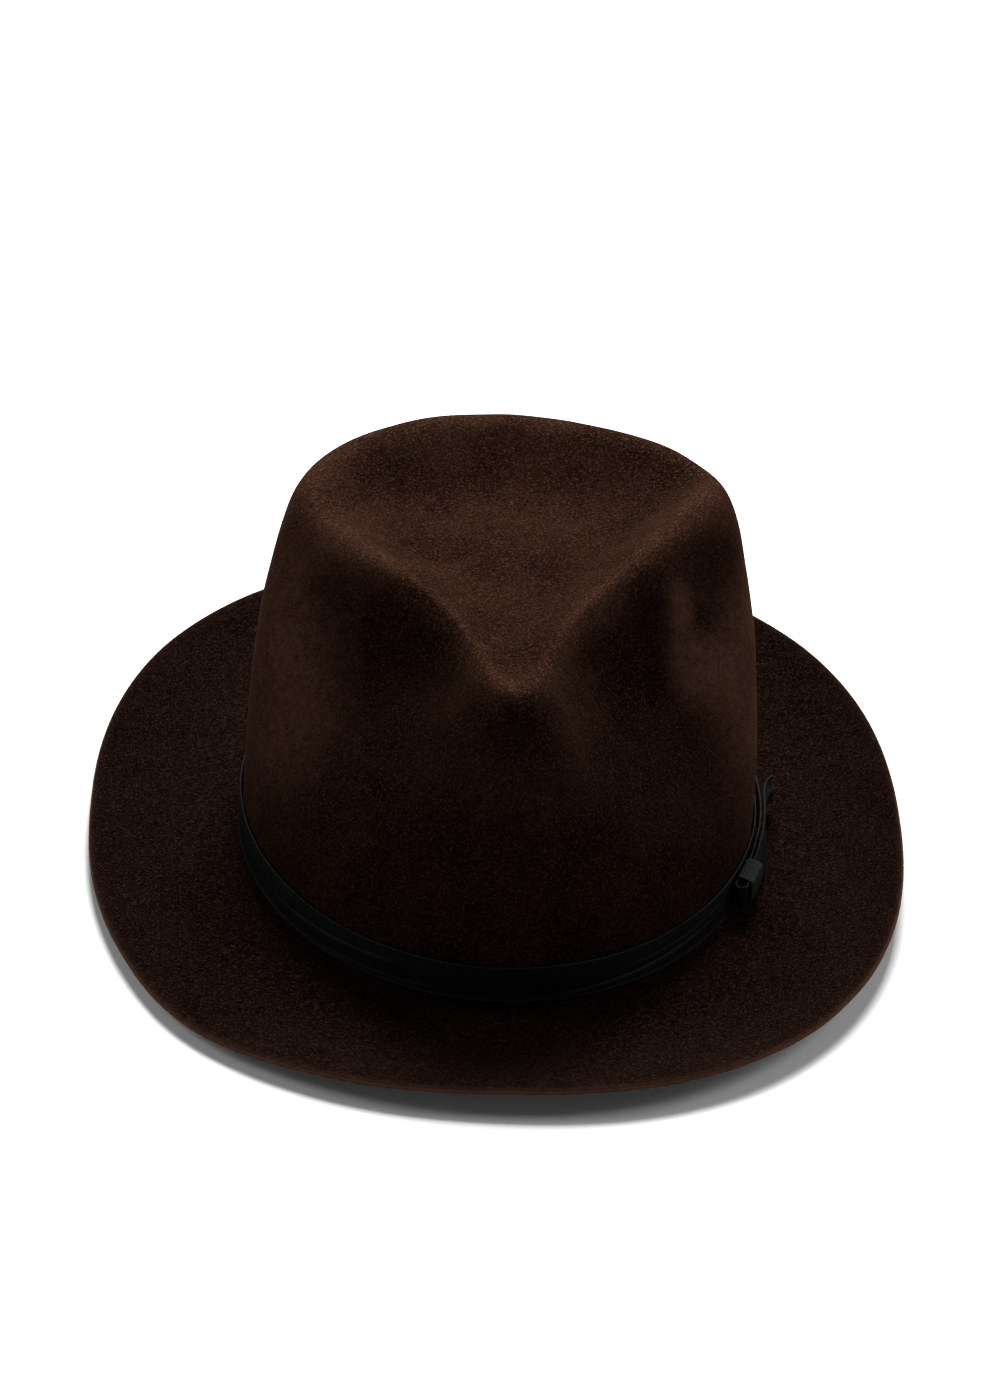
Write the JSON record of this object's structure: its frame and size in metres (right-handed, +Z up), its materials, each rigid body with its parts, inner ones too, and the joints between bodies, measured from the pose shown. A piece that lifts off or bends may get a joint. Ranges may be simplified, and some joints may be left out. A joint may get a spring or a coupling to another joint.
{
  "type": "fedora hat",
  "caption": "Felt fedora with a teardrop crown, front pinch, narrow ribbon band with a side bow, and a leather sweatband inside.",
  "frame": {"origin": "on the surface the brim rests on, under the middle of the hat's bounding box", "axes": "+Z up; -Y to the front of the hat; +X to the wearer's left, the side with the bow; +Y is the longest way, front to back"},
  "size_m": [0.2804, 0.3192, 0.1199],
  "materials": {
    "felt": "matt brushed fur felt, dark chocolate brown",
    "ribbon": "ribbed grosgrain, black",
    "black_thread": "matt sewing thread, black",
    "sweatband_leather": "smooth satin leather, brown",
    "reed_plastic": "satin plastic cord, cream",
    "cotton_tape": "matt woven cotton, cream",
    "brown_thread": "matt sewing thread, brown",
    "lining_satin": "satin weave, bronze brown"
  },
  "bodies": {
    "root": {"felt_body": "felt", "hatband": "ribbon", "bow_ribbon": "ribbon", "bow_knot": "ribbon", "bow_tack": "black_thread", "hatband_tack_1": "black_thread", "hatband_tack_2": "black_thread", "hatband_tack_3": "black_thread", "hatband_tack_4": "black_thread", "sweatband": "sweatband_leather", "sweatband_rear_bow": "sweatband_leather", "sweatband_reed": "reed_plastic", "sweatband_seam_tape": "cotton_tape", "sweatband_stitching": "brown_thread", "reed_tape": "cotton_tape", "size_tag": "cotton_tape", "lining_wall": "lining_satin", "lining_tip": "lining_satin"}
  },
  "joints": []
}
